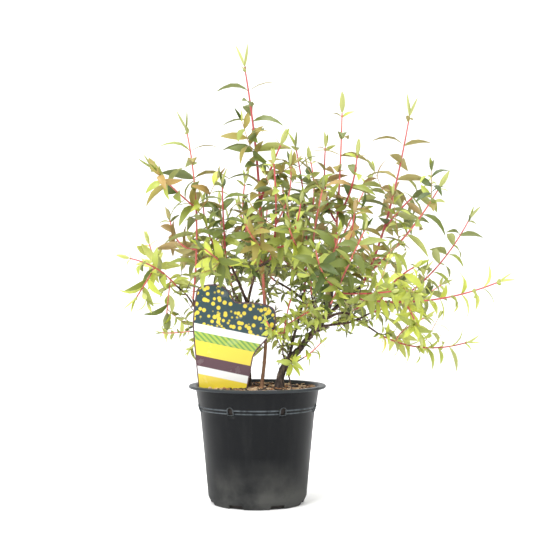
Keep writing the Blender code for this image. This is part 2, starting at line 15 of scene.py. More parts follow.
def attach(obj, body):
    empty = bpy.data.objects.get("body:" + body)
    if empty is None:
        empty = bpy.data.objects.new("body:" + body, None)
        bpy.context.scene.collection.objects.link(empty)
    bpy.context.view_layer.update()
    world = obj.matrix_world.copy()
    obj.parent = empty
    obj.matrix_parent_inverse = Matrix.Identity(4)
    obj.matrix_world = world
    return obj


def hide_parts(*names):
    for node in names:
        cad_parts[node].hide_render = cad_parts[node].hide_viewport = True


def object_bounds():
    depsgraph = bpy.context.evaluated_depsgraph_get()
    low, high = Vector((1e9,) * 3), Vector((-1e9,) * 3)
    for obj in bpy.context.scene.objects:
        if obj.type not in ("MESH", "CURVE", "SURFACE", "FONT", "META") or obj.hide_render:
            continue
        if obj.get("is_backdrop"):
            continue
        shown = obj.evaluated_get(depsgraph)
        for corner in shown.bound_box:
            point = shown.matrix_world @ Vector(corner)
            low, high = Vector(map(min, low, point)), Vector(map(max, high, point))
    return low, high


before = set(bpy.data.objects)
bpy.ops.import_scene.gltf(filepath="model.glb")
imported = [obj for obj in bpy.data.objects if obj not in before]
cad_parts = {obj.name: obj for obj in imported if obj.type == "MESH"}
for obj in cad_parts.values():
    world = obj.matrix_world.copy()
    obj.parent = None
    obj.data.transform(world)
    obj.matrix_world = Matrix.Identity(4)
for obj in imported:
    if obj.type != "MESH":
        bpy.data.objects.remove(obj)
cad_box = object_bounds()
scene = bpy.context.scene

MM = 0.001
UP = Vector((0, 0, 1))
GAP = 0.3  # left between pieces that touch

# Pot: a thin black shell with a flat rim, two fine rings at its step, and a chamfered foot
POT_HEIGHT = 154.0
RIM_RADIUS = 90.0
RIM_DEPTH = 3.6
NECK_RADIUS = 80.8  # under the rim
STEP_RADIUS = 77.4  # just above the step
BODY_RADIUS = 75.4  # just below the step
HIP_RADIUS = 64.5  # above the foot's chamfer
FOOT_RADIUS = 60.0
FOOT_CHAMFER = 9.5
STEP_Z = 127.4
RING_Z = 123.0
RING_SIZE = 0.7
WALL = 1.6
FLOOR = 2.0
POT_SIDES = 140
CORNER_EASE = 0.8
PROFILE_STEP = 9.0  # the profile's longest stretch
NOTCHES = 7  # arched holes at the step, each over a drain; the front is midway between two
NOTCH_WIDTH = 7.0
NOTCH_LOW = 121.5
NOTCH_HIGH = 130.5
FRAME_RINGS = ((0.0, -0.3), (0.1, 0.8), (1.0, 0.8), (1.5, -0.4))  # past the hole, and off the wall
DRAIN_WIDTH = 22.0
DRAIN_HEIGHT = 5.5
DRAIN_SLANT = 2.0
DRAIN_DEPTH = 4.0  # into the floor, from the foot's edge
TOOL_ROOM = 5.0  # past the wall, for a cutting tool

# Soil: uneven on top, with chips of bark lying on it
SOIL_TOP = 149.0
SOIL_RINGS = range(8, 73, 4)  # the radii at which its top rises and falls
SOIL_EDGE = NECK_RADIUS - WALL - 1.2
SOIL_WAVES = ((1.3, 0.09), (0.7, 0.3))  # height, and how close together
CHIPS = 620
CHIP_KINDS = ("tan", "tan", "orange", "dark", "dark")
CHIP_LENGTH = (2.2, 8.5)
CHIP_WIDTH = (0.35, 0.7)  # of its length
CHIP_THICK = (0.12, 0.32)  # of its length
CHIP_LIFT = (0.1, 1.9)
CHIP_SPREAD = 74.0  # the radius that they lie in
CHIP_STRAY = 0.16  # of a corner, in chip sizes

# Label: a thin tag on a spike in the soil, seen from the front as (x, z, corner rounding)
LABEL_THICK = 0.8
LABEL_FOOT = SOIL_TOP + GAP
SPIKE_LEFT = -62.0
SPIKE_RIGHT = -30.0
SPIKE_DEPTH = 14.0
LABEL_Y = -13.0  # of its middle
LABEL_TURN = math.radians(6)  # its right side stands forward
LABEL_MIDDLE = -45.0
LABEL_CORNERS = (
    (SPIKE_LEFT, LABEL_FOOT, 0), (-77, LABEL_FOOT, 0), (-87, 250, 30), (-77, 286, 17), (-38, 286, 17),
    (-30, 263, 5), (8, 262, 12), (25, 254, 9), (24, 226, 9), (-4, 196, 8), (-13, LABEL_FOOT, 0),
    (SPIKE_RIGHT, LABEL_FOOT, 0), (SPIKE_RIGHT - 4, SOIL_TOP - SPIKE_DEPTH, 0),
    (SPIKE_LEFT + 4, SOIL_TOP - SPIKE_DEPTH, 0),
)
LABEL_BORDER = 1.8  # of plain colour round the print
LABEL_SLANT = 0.2  # how steeply its bands fall to the right

# Limbs: name, radius at the foot, radius at the tip, and the middle line's bends
LIMBS = {
    "trunk": (5.6, 3.0, (
        (28, 0, SOIL_TOP), (31, 1, 166), (38, 3, 182), (53, 5, 198), (74, 6, 224), (93, 6, 247))),
    "rear_leader": (2.2, 1.4, ((41, 4, 186), (46, 12, 208), (52, 20, 231), (60, 26, 258))),
    "tall_cane": (2.4, 2.0, ((5, 4, SOIL_TOP), (9, 3, 183), (11, 2, 220), (9, 0, 266), (6, 0, 315))),
    "forked_stem": (2.5, 2.2, ((-10, 10, SOIL_TOP), (-12, 10, 199), (-13, 8, 262))),
    "left_arm": (2.1, 1.4, ((-13, 8, 260), (-24, 6, 286), (-34, 4, 308))),
    "right_arm": (2.0, 1.3, ((-13, 8, 262), (-6, -8, 289), (2, -22, 307), (17, -42, 318))),
    "left_cane": (1.8, 1.4, ((-11, 10, 172), (-46, 14, 206), (-76, 11, 238), (-85, 5, 266))),
    "left_side_bough": (1.2, 1.0, ((-82, 7, 254), (-93, 4, 271), (-107, 0, 284))),
    "low_left_twig": (1.1, 0.8, ((-12, 9, 212), (-50, 2, 221), (-89, 0, 224))),
    "inner_left_bough": (2.0, 1.3, ((82, 6, 234), (63, 20, 262), (44, 30, 278), (22, 42, 291))),
    "inner_upright_bough": (1.5, 1.1, ((75, 5, 226), (75, -10, 250), (70, -28, 273))),
    "upper_bough": (2.2, 1.6, ((92, 6, 246), (98, 6, 268), (97, 8, 291))),
    "right_bough": (2.4, 1.7, ((91, 6, 245), (116, 1, 266), (137, -6, 284))),
    "arching_bough": (1.8, 1.3, ((89, 6, 242), (112, -20, 261), (132, -34, 267))),
    "drooping_bough": (1.9, 1.1, (
        (84, 6, 236), (107, 16, 247), (126, 22, 245), (145, 27, 231), (162, 30, 219))),
    "rising_bough": (1.8, 1.2, ((80, 6, 230), (103, 24, 232), (126, 36, 235), (150, 40, 246))),
    "back_bough": (2.2, 1.4, ((90, 6, 244), (90, 50, 263), (84, 92, 286))),
    "low_back_bough": (1.8, 1.2, ((72, 6, 220), (90, 50, 226), (116, 95, 238))),
    "front_bough": (1.9, 1.2, ((67, 6, 215), (81, -40, 235), (93, -78, 262))),
    "back_left_bough": (1.8, 1.2, ((-12, 10, 228), (-24, 44, 258), (-36, 78, 280))),
    "dead_stick": (1.1, 0.8, ((37, 3, 178), (41, -12, 166), (45, -24, SOIL_TOP + 1))),
    "foot_shoot": (1.2, 0.8, ((36, 2, 178), (50, -12, 184), (61, -18, 191))),
    "thin_upright": (1.1, 0.8, ((37, 3, 181), (33, -12, 200), (35, -18, 219))),
}
GROUNDED = ("trunk", "tall_cane", "forked_stem")
ROOT_FLARE = 1.35  # of the radius, where such a limb meets the soil
FLARE_HEIGHT = 12.0
SUNK = 3.0  # how far its foot goes into the soil
BARK_SIDES = 14
BARK_STEP = 2.6  # between the rings of a limb
JOINT_EVERY = 19.0  # along a limb
JOINT_REACH = 1.3
JOINT_SWELLING = 0.16  # of the radius
CANE_RELIEF = 0.02  # of the foot's radius
THIN_RELIEF = 0.08
THICK_RELIEF = 0.17
THICK_LIMB = 2.0  # past this radius at the foot, relief is deep
ROUGH_LIMB = 2.1  # and past this one, bark is dark and rough
BARE_WOOD = ("trunk", "forked_stem")  # limbs that carry twigs but no mass

# Foliage masses: the limb that each grows on, its tint and its shoots. The first shoot is the stem,
# and the others leave it at a share of its length. Each has the middle and the tip of its line,
# and the length of its largest leaf.
FOLIAGE = {
    "top": ("tall_cane", "bronze", (
        (0, (0, -4, 440), (-16, -8, 566), 38),
        (0.05, (-16, 14, 362), (-18, 30, 417), 28),
        (0.3, (14, -26, 425), (29, -44, 461), 30))),
    "left_tall": ("left_cane", "bronze", (
        (0, (-81, 10, 379), (-94, 20, 487), 36),
        (0.52, (-103, -12, 405), (-131, -28, 432), 34),
        (0.28, (-105, 40, 341), (-120, 62, 370), 28))),
    "left_side": ("left_side_bough", "lime", (
        (0, (-131, -12, 306), (-163, -18, 319), 25),
        (0.15, (-119, 12, 261), (-122, 20, 235), 19),
        (0.5, (-142, -40, 289), (-152, -52, 271), 20),
        (0.35, (-136, 28, 315), (-146, 44, 337), 23))),
    "low_left": ("low_left_twig", "lime", (
        (0, (-107, 1, 222), (-124, 0, 222), 13),)),
    "left_fan": ("left_arm", "green", (
        (0, (-62, 25, 345), (-74, 45, 391), 29),
        (0.1, (-43, -30, 361), (-44, -50, 409), 29),
        (0.3, (-75, 62, 316), (-93, 92, 341), 27),
        (0.12, (-45, -45, 315), (-63, -78, 329), 25))),
    "front_left": ("right_arm", "green", (
        (0, (24, -70, 364), (22, -88, 433), 29),
        (0.2, (42, -92, 341), (54, -118, 382), 27),
        (0.12, (2, -80, 337), (-12, -112, 358), 27),
        (0.45, (40, -60, 398), (43, -52, 434), 27))),
    "middle": ("rear_leader", "green", (
        (0, (65, 42, 359), (52, 56, 468), 31),
        (0.35, (45, 78, 367), (34, 104, 417), 27),
        (0.5, (76, 66, 403), (73, 84, 452), 29),
        (0.2, (38, 80, 316), (16, 112, 350), 25))),
    "inner_left": ("inner_left_bough", "green", (
        (0, (-6, 60, 329), (-25, 82, 385), 27),
        (0.15, (5, 92, 313), (-15, 128, 339), 25),
        (0.3, (8, 44, 345), (13, 52, 394), 27))),
    "inner_front": ("inner_upright_bough", "green", (
        (0, (71, -52, 335), (82, -74, 402), 29),
        (0.3, (54, -86, 326), (41, -118, 353), 25),
        (0.2, (89, -82, 314), (100, -116, 343), 25))),
    "crown": ("upper_bough", "bronze", (
        (0, (106, 6, 386), (111, -2, 507), 34),
        (0.4, (91, 16, 403), (90, 24, 465), 29),
        (0.45, (120, -26, 405), (128, -42, 448), 29),
        (0.15, (113, -50, 327), (122, -78, 372), 27))),
    "right_tall": ("right_bough", "bronze", (
        (0, (170, -6, 373), (199, 0, 502), 37),
        (0.1, (193, -24, 350), (232, -38, 407), 32),
        (0.42, (196, 36, 391), (225, 58, 417), 22))),
    "arching": ("arching_bough", "lime", (
        (0, (215, -70, 266), (298, -86, 288), 24),
        (0.32, (193, -88, 249), (200, -96, 230), 21),
        (0.15, (168, -92, 287), (189, -126, 306), 25))),
    "rising": ("rising_bough", "green", (
        (0, (225, 48, 291), (287, 64, 371), 29),
        (0.3, (216, 92, 263), (257, 128, 283), 23))),
    "drooping": ("drooping_bough", "lime", (
        (0, (216, 18, 202), (273, 8, 208), 22),
        (0.2, (199, 60, 223), (230, 92, 238), 21))),
    "back_right": ("back_bough", "green", (
        (0, (118, 124, 351), (154, 152, 426), 29),
        (0.2, (95, 132, 348), (88, 168, 407), 27),
        (0.15, (138, 134, 308), (190, 168, 335), 27),
        (0.08, (58, 128, 311), (33, 160, 340), 27))),
    "low_back": ("low_back_bough", "green", (
        (0, (160, 118, 264), (206, 150, 290), 25),
        (0.2, (130, 138, 281), (127, 176, 319), 25))),
    "front": ("front_bough", "green", (
        (0, (111, -112, 306), (129, -146, 349), 28),
        (0.2, (83, -118, 297), (72, -156, 325), 26),
        (0.15, (129, -112, 275), (160, -146, 278), 23))),
    "back_left": ("back_left_bough", "green", (
        (0, (-49, 108, 336), (-56, 138, 397), 28),
        (0.2, (-69, 118, 308), (-99, 150, 328), 25),
        (0.15, (-18, 120, 317), (-10, 150, 357), 26))),
    "foot": ("foot_shoot", "lime", (
        (0, (70, -24, 198), (81, -30, 209), 15),)),
    "inner_low": ("thin_upright", "lime", (
        (0, (37, -32, 240), (43, -48, 266), 17),
        (0.1, (22, -32, 225), (13, -44, 238), 15),
        (0.3, (52, -44, 243), (65, -60, 251), 15))),
}
SEED = 41
SHOOT_TIP_RADIUS = 0.6
YOUNG_TIP = 1.5  # of that radius, on a main shoot
TWIG_TIP = 0.8  # and on a twig
SHOOT_TAPER = 1.6
SIDE_SHOOT = 0.9  # a side shoot's radius, of its stem's
TWIG_RADIUS = 0.7
TWIG_STEP = 26.0  # between the rings of a shoot's twig; a limb's twig has half of it
SHOOT_STEP = 6.0  # between the rings of a main shoot
MAIN_SIDES = 8
TWIG_SIDES = 5
TWIG_EVERY = 80.0  # along a shoot
TWIG_ANGLE = math.radians(48)
TWIG_REACH = (0.7, 1.5)  # in leaf lengths
TWIG_LEAF = 0.72  # of the shoot's leaf length
STEM_TWIGS = 0.6  # the lower share of a stem that bears twigs
LIMB_TWIG_EVERY = 17.0  # along the wood of a limb
LIMB_TWIGS_FROM = 0.3  # of its length
LIMB_TWIG_REACH = (14, 42)
LIMB_TWIG_LEAF = (12, 18)
LABEL_SIDE = 40.0  # twigs left of this and
LABEL_OVER = 300.0  # below this turn away from the label

# Leaves
LEAF_ANGLE = math.radians(62)  # from the shoot, about three quarters of the way up it
TIP_ANGLE = math.radians(12)  # of the folded pair that ends a shoot
TIP_LEAF = 0.64  # of the shoot's leaf length
YOUNG_PAIR = 0.45  # the small spreading pair below the tip's
YOUNG_FROM = 0.78  # the share of a shoot past which leaves are young
TIP_REACH = 0.1  # of a leaf length, that a main shoot goes on past its tip
NODE_SPACING = 0.53  # between leaf pairs, in leaf lengths
LEAF_SCALE = 1.22  # of the length that a shoot is given
SHORT_LEAF = 18.0  # a main shoot with longer leaves than this
FULL_LEAF = 27.0  # has them at least this long
BASE_LEAF = 0.64  # a leaf's size, of the largest, before its place counts
LEAF_WIDTH = 0.35  # of its length
LEAF_THICK = 0.3
LEAF_DROOP = 0.34  # downward, against 1 along the leaf
LIME_DROOP = 1.8  # of that, in a lime mass
LEAF_ROLL = math.radians(24)  # about its own length
LEAF_ARCH = (0.07, 0.17)  # of its length
LEAF_FOLD = (0.08, 0.38)
TIP_ARCH = (-0.05, 0.0)
TIP_FOLD = (0.5, 0.8)

# A leaf's outline: shares of its length from the root, and of its half width there
LEAF_ROWS = (0.0, 0.13, 0.34, 0.58, 0.8, 0.93, 1.0)
LEAF_HALVES = (0.12, 0.62, 1.0, 0.9, 0.54, 0.25, 0.0)
LEAF_COLUMNS = (-1.0, -0.5, 0.0, 0.5, 1.0)

# Leaf colours (linear): the record's slot, the upper side and the underside
LEAF_COLOURS = {
    "deep": ("green_leaf", (0.08, 0.115, 0.024), (0.18, 0.215, 0.085)),
    "olive": ("green_leaf", (0.15, 0.185, 0.038), (0.27, 0.3, 0.12)),
    "green": ("green_leaf", (0.27, 0.31, 0.062), (0.38, 0.4, 0.165)),
    "fresh": ("green_leaf", (0.38, 0.43, 0.09), (0.47, 0.49, 0.19)),
    "lime": ("lime_leaf", (0.48, 0.53, 0.09), (0.54, 0.56, 0.19)),
    "yellow": ("lime_leaf", (0.72, 0.64, 0.08), (0.74, 0.68, 0.2)),
    "bronze": ("bronze_leaf", (0.3, 0.255, 0.062), (0.39, 0.345, 0.15)),
    "russet": ("bronze_leaf", (0.37, 0.255, 0.08), (0.44, 0.34, 0.165)),
}
# How often each colour falls to a leaf, by its mass's tint
LEAF_SHARES = {
    "green": (("deep", 4), ("olive", 6), ("green", 8), ("fresh", 4), ("lime", 1), ("bronze", 1)),
    "bronze": (("deep", 2), ("olive", 5), ("green", 4), ("bronze", 8), ("russet", 3), ("fresh", 1)),
    "lime": (("green", 4), ("fresh", 8), ("lime", 6), ("yellow", 1), ("olive", 2)),
}
STRAY_LEAVES = 0.4  # the share that don't take their spray's colour
PALE_ON_TWIGS = 0.3  # the share of pale leaves on a twig
PALE_AT_TIPS = 0.5  # and on a main shoot past this share of its length:
PALE_FROM = 0.9

# Other colours (linear)
SHOOT_COLOURS = {
    "red": (0.4, 0.06, 0.06), "rose": (0.52, 0.12, 0.1), "young": (0.38, 0.22, 0.08),
    "wood": (0.08, 0.042, 0.028),
}
CHIP_COLOURS = {
    "tan": (0.56, 0.39, 0.23), "orange": (0.34, 0.15, 0.055), "dark": (0.04, 0.022, 0.014),
}

# Stage: the floor bends up into a backdrop. Lights: name, place in metres, size and power
FLOOR_WIDTH = 8000.0
FLOOR_FRONT = -3000.0
BEND_START = 2200.0
BEND_RADIUS = 800.0
BACKDROP_TOP = 4500.0
LIGHTS = (
    ("key", (-1.2, -1.6, 1.9), 1.5, 74),
    ("fill", (1.6, -1.3, 1.1), 1.4, 16),
    ("top", (0.2, 0.3, 2.2), 1.4, 40),
)
LIT_SPOT = Vector((0.05, 0, 0.3))

# Camera: its place in metres, and the photograph's width and focal length in pixels
CAMERA_PLACE = (0.025, -1.577, 0.296)
PHOTO_WIDTH = 553
PHOTO_FOCAL = 1200


# Materials

class Value:
    """A shader socket that takes part in sums, each of which adds Math nodes."""

    def __init__(self, paint, socket):
        self.paint = paint
        self.socket = socket

    def maths(self, operation, *others):
        values = dict(enumerate((self, *others)))
        return self.paint.node("Math", values, operation=operation)

    def __add__(self, other):
        return self.maths("ADD", other)

    def __sub__(self, other):
        return self.maths("SUBTRACT", other)

    def __mul__(self, other):
        return self.maths("MULTIPLY", other)

    def __truediv__(self, other):
        return self.maths("DIVIDE", other)

    def __rsub__(self, other):
        return self * -1 + other

    __radd__ = __add__
    __rmul__ = __mul__

    def above(self, edge, soft):
        """0 below the edge, 1 above it, with a soft step between."""
        return ((self - edge) / soft + 0.5).maths("MINIMUM", 1).maths("MAXIMUM", 0)

    def within(self, low, high, soft):
        """1 between two edges and 0 elsewhere."""
        return self.above(low, soft) * (1 - self.above(high, soft))


class Paint:
    """A procedural material: nodes come from node(), and what varies goes to its shader."""

    def __init__(self, name, colour, roughness, **settings):
        self.material = bpy.data.materials.new(name)
        self.material.use_nodes = True
        self.tree = self.material.node_tree
        self.shader = self.tree.nodes["Principled BSDF"]
        self.set("Base Color", (*colour, 1))
        self.set("Roughness", roughness)
        for title, value in settings.items():
            self.set(title.replace("_", " "), value)

    def feed(self, socket, value):
        """Set a socket to a constant, or link what varies to it."""
        if isinstance(value, Value):
            self.tree.links.new(value.socket, socket)
        else:
            socket.default_value = value

    def node(self, kind, values, output=0, **settings):
        """Add a node: its settings first, and then what each of its sockets gets."""
        node = self.tree.nodes.new("ShaderNode" + kind)
        for title, value in settings.items():
            setattr(node, title, value)
        for key, value in values.items():
            self.feed(node.inputs[key], value)
        return Value(self, node.outputs[output])

    def set(self, title, value):
        self.feed(self.shader.inputs[title], value)

    def place(self):
        return self.node("TexCoord", {}, "Object")

    def axes(self):
        """Object coordinates as three values, in millimetres."""
        split = self.tree.nodes.new("ShaderNodeSeparateXYZ")
        self.tree.links.new(self.place().socket, split.inputs[0])
        return [Value(self, split.outputs[n]) / MM for n in range(3)]

    def stretched(self, scale):
        """Object coordinates scaled along each axis, to draw a pattern out."""
        return self.node("Mapping", {"Vector": self.place(), "Scale": scale})

    def noise(self, scale, detail=3, vector=None, rough=0.55):
        vector = vector or self.place()
        values = {"Vector": vector, "Scale": scale, "Detail": detail, "Roughness": rough}
        return self.node("TexNoise", values)

    def mix(self, factor, *colours):
        """A colour between two colours, each a tuple or a socket."""
        first, second = [(*c, 1) if isinstance(c, tuple) else c for c in colours]
        sockets = {0: factor, 6: first, 7: second}  # the node's inputs for colours
        return self.node("Mix", sockets, 2, data_type="RGBA")

    def bump(self, height, strength, distance):
        """Relief from a height, the distance in millimetres."""
        values = {"Height": height, "Strength": strength, "Distance": distance * MM}
        self.set("Normal", self.node("Bump", values))

    def translucent(self, share, colour):
        """Let some light through, as a thin leaf does."""
        glow = self.node("BsdfTranslucent", {"Color": (*colour, 1)})
        shader = Value(self, self.shader.outputs[0])
        mixed = self.node("MixShader", {0: share, 1: shader, 2: glow})
        self.feed(self.tree.nodes["Material Output"].inputs["Surface"], mixed)


def pot_plastic():
    """Black moulded plastic, dusty toward its foot, with painted highlights along its rings and rim."""
    paint = Paint("pot_plastic", (0.004, 0.0045, 0.005), 0.42, Specular_IOR_Level=0.12)
    _, _, height = paint.axes()
    patches = paint.noise(22, 5)
    streaks = paint.noise(40, 4, paint.stretched((3, 3, 0.35)))
    grains = paint.noise(900, 2)
    low = 1 - height.above(34, 66)
    dust = patches.above(0.47, 0.3) * low * 1.1 + streaks.above(0.6, 0.25) * 0.06
    specks = grains.above(0.73, 0.04) * 0.55
    foot = (1 - height.above(13, 22)) * patches.above(0.42, 0.4) * 0.6
    # Painted highlight: the ring, the step and the top of the rim are masked here, to be painted pale
    # blue-grey.
    ring = height.within(RING_Z - 0.8, RING_Z + 0.8, 0.8)
    step = height.within(STEP_Z - 1.4, STEP_Z + 0.6, 0.8)
    rim = height.above(POT_HEIGHT - 4, 1.5)
    ridge_highlights = (ring + step) * streaks.above(0.42, 0.3) + rim * 0.3
    marks = (dust + specks + foot).maths("MINIMUM", 1)
    tinted = paint.mix(patches, (0.074, 0.077, 0.077), (0.094, 0.092, 0.082))
    # Painted highlight: the dark plastic turns pale blue-grey along those lines, broken up by the
    # streaks.
    highlit_plastic = paint.mix(ridge_highlights * 0.5, (0.003, 0.0036, 0.0045), (0.15, 0.175, 0.19))
    paint.set("Base Color", paint.mix(marks * 0.62, highlit_plastic, tinted))
    paint.set("Roughness", 0.36 + marks * 0.4 + streaks * 0.08)
    paint.bump(grains * 0.3 + patches, 0.25, 0.4)
    return paint.material


def pot_edge():
    """The paler plastic of the frames round the pot's holes: a painted highlight on their raised beads.
    """
    paint = Paint("pot_edge", (0.03, 0.035, 0.038), 0.45, Specular_IOR_Level=0.2)
    highlight_mottle = paint.noise(300, 4)
    # Painted highlight: a noise mixes the frames between dark and pale blue-grey.
    highlit_plastic = paint.mix(highlight_mottle.above(0.5, 0.4), (0.012, 0.014, 0.015), (0.07, 0.08, 0.085))
    paint.set("Base Color", highlit_plastic)
    paint.set("Roughness", 0.38 + highlight_mottle * 0.2)
    return paint.material


def soil_compost():
    """Dark clods, lighter where they show at the top."""
    paint = Paint("soil_compost", (0.05, 0.028, 0.017), 0.95)
    clods = paint.noise(160, 6)
    _, _, height = paint.axes()
    light = clods.above(0.5, 0.4) * height.above(SOIL_TOP - 3, 3)
    paint.set("Base Color", paint.mix(light, (0.012, 0.008, 0.006), (0.15, 0.085, 0.045)))
    paint.bump(clods, 0.9, 2.5)
    return paint.material


def chip_wood(kind):
    colour = CHIP_COLOURS[kind]
    paint = Paint("chip_" + kind, colour, 0.88)
    grain = paint.noise(260, 4, paint.stretched((1, 0.3, 1)))
    dark = tuple(0.5 * part for part in colour)
    paint.set("Base Color", paint.mix(grain.above(0.5, 0.5), dark, colour))
    paint.bump(grain, 0.7, 0.8)
    return paint.material


def bark(name, dark, light, gloss):
    """Rough fissured bark over a limb."""
    paint = Paint(name, dark, 0.8)
    plates = paint.noise(330, 6, paint.stretched((1, 1, 0.3)), 0.65)
    blotches = paint.noise(60, 3)
    share = plates.above(0.55, 0.2) * 0.8 + blotches.above(0.6, 0.2) * 0.35
    paint.set("Base Color", paint.mix(share, dark, light))
    paint.set("Roughness", 0.9 - share * gloss)
    paint.bump(plates, 0.8, 0.7)
    return paint.material


def cane_skin():
    """The tall cane: light brown at its foot, glossy pink-red above."""
    paint = Paint("cane_skin", (0.3, 0.08, 0.06), 0.4)
    _, _, height = paint.axes()
    fibres = paint.noise(300, 4, paint.stretched((1, 1, 0.12)))
    rise = (height + fibres * 40).above(270, 70)
    low = paint.mix(fibres.above(0.5, 0.4), (0.15, 0.07, 0.035), (0.33, 0.18, 0.095))
    high = paint.mix(fibres, (0.42, 0.075, 0.06), (0.56, 0.18, 0.13))
    paint.set("Base Color", paint.mix(rise, low, high))
    paint.set("Roughness", 0.62 - rise * 0.34)
    paint.bump(fibres, 0.3, 0.3)
    return paint.material


def shoot_skin(kind):
    paint = Paint("shoot_" + kind, SHOOT_COLOURS[kind], 0.34)
    paint.set("Roughness", 0.26 + paint.noise(220, 3) * 0.2)
    return paint.material


def leaf_side(name, colour, roughness):
    """One side of a leaf: finely veined, and lit through from behind."""
    paint = Paint(name, colour, roughness, Specular_IOR_Level=0.35)
    veins = paint.noise(420, 3)
    paint.set("Roughness", roughness - 0.08 + veins * 0.16)
    paint.bump(veins, 0.25, 0.25)
    paint.translucent(0.28, tuple(min(1, 1.7 * part) for part in colour))
    return paint.material


def label_print():
    """A generic plant label: a teal panel with dots, plain bands and a leafy stripe."""
    paint = Paint("label_print", (0.8, 0.8, 0.75), 0.28, Coat_Weight=0.3, Coat_Roughness=0.15)
    across, _, height = paint.axes()
    level = height + across * LABEL_SLANT
    teal = (0.008, 0.034, 0.04)
    gold = (0.6, 0.47, 0.035)
    white = (0.64, 0.645, 0.62)
    plum = (0.06, 0.018, 0.028)
    values = {"Vector": paint.stretched((1, 0.01, 1)), "Scale": 150, "Randomness": 0.9}
    cells = paint.node("TexVoronoi", values, voronoi_dimensions="3D")
    dots = 1 - cells.above(0.42, 0.1)
    leafy = (level * 0.9 + across * 0.75).maths("SINE").above(0.1, 0.4)
    stripe = paint.mix(leafy, (0.3, 0.38, 0.05), (0.11, 0.24, 0.045))
    panel = paint.mix(dots * 0.92, teal, gold)
    bands = ((219, white), (209, stripe), (197, gold), (178, plum), (164, white), (154, gold))
    for top, colour in bands:
        panel = paint.mix(1 - level.above(top, 0.8), panel, colour)
    scuffs = paint.noise(55, 5).above(0.66, 0.1) * 0.07
    paint.set("Base Color", paint.mix(scuffs, panel, (0.75, 0.74, 0.7)))
    paint.set("Roughness", 0.26 + scuffs * 1.2)
    return paint.material


def label_edge():
    paint = Paint("label_edge", (0.06, 0.022, 0.028), 0.3)
    paint.set("Roughness", 0.26 + paint.noise(90, 3) * 0.15)
    return paint.material


# Pieces

def dress(piece, slot, nodes):
    """Let a piece ride on the part and stand for CAD nodes; the slot is not used."""
    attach(piece, "root")
    if nodes:
        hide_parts(*nodes)
    return piece


def make_object(bm, name, material, angle=35):
    """Turn a bmesh in millimetres into a shaded object in metres."""
    bmesh.ops.scale(bm, vec=(MM, MM, MM), verts=bm.verts)
    mesh = bpy.data.meshes.new(name)
    bm.to_mesh(mesh)
    bm.free()
    return place_mesh(mesh, name, [material], angle)


def place_mesh(mesh, name, materials, angle):
    """Link a finished mesh as an object; edges past the angle stay sharp."""
    mesh.shade_smooth()
    mesh.set_sharp_from_angle(angle=math.radians(angle))
    for material in materials:
        mesh.materials.append(material)
    return new_object(name, mesh)


def new_object(name, data):
    made = bpy.data.objects.new(name, data)
    scene.collection.objects.link(made)
    return made


def new_verts(made):
    """The vertices among what an operator made."""
    return [item for item in made["geom"] if isinstance(item, bmesh.types.BMVert)]


def cut(piece, tools):
    """Cut a piece with a collection of tools, apply it, and remove the tools."""
    group = bpy.data.collections.new("tools")
    scene.collection.children.link(group)
    for tool in tools:
        group.objects.link(tool)
    change = piece.modifiers.new("cut", "BOOLEAN")
    change.operation = "DIFFERENCE"
    change.operand_type = "COLLECTION"
    change.collection = group
    evaluated = piece.evaluated_get(bpy.context.evaluated_depsgraph_get())
    result = bpy.data.meshes.new_from_object(evaluated)
    piece.modifiers.clear()
    piece.data = result
    for tool in tools:
        bpy.data.objects.remove(tool)
    bpy.data.collections.remove(group)


def pot_outside():
    """Points (radius, height) up the outside of the pot, from its foot to under the rim."""
    hip_to_step = (BODY_RADIUS - HIP_RADIUS) / (RING_Z - FOOT_CHAMFER)
    below = BODY_RADIUS - 2 * RING_SIZE * hip_to_step
    return [
        (FOOT_RADIUS, 0), (HIP_RADIUS, FOOT_CHAMFER),
        (below, RING_Z - RING_SIZE), (BODY_RADIUS + RING_SIZE, RING_Z), (BODY_RADIUS, RING_Z + RING_SIZE),
        (BODY_RADIUS + 0.2, STEP_Z - 2 * RING_SIZE), (STEP_RADIUS + RING_SIZE, STEP_Z - RING_SIZE),
        (STEP_RADIUS, STEP_Z), (NECK_RADIUS, POT_HEIGHT - RIM_DEPTH - 1),
    ]


def pot_inside(clear=0.0):
    """Points (radius, height) down the inside of the wall, from the rim to the floor."""
    wall = WALL + clear
    return [
        (NECK_RADIUS + 0.3 - clear, POT_HEIGHT), (NECK_RADIUS - wall, POT_HEIGHT - RIM_DEPTH),
        (STEP_RADIUS - wall, STEP_Z), (BODY_RADIUS - wall, RING_Z - 1),
        (HIP_RADIUS - wall, FOOT_CHAMFER), (FOOT_RADIUS - wall, FLOOR + clear),
    ]


def turned(profile):
    """Spin an open profile of (radius, height) points round the Z axis into a closed solid."""
    bm = bmesh.new()
    corners = [bm.verts.new((radius, 0, height)) for radius, height in profile]
    edges = [bm.edges.new(pair) for pair in zip(corners, corners[1:])]
    bmesh.ops.spin(bm, geom=corners + edges, axis=UP, cent=(0, 0, 0), angle=math.tau,
                   steps=POT_SIDES, use_merge=True)
    bmesh.ops.remove_doubles(bm, verts=bm.verts, dist=0.01)
    bmesh.ops.recalc_face_normals(bm, faces=bm.faces)
    return bm


def rounded(profile, radius, steps=3):
    """The profile with each inner corner turned into a short arc."""
    points = [Vector(point) for point in profile]
    line = [points[0]]
    for before, corner, after in zip(points, points[1:], points[2:]):
        room = min(radius, (corner - before).length * 0.4, (after - corner).length * 0.4)
        start = corner + (before - corner).normalized() * room
        end = corner + (after - corner).normalized() * room
        for step in range(steps + 1):
            t = step / steps
            line.append((1 - t) ** 2 * start + 2 * t * (1 - t) * corner + t ** 2 * end)
    return line + [points[-1]]


def in_short_steps(profile, step):
    """The profile with points added, so that no stretch is longer than the step."""
    line = [profile[0]]
    for before, after in zip(profile, profile[1:]):
        parts = max(1, math.ceil((after - before).length / step))
        line += [before.lerp(after, part / parts) for part in range(1, parts + 1)]
    return line


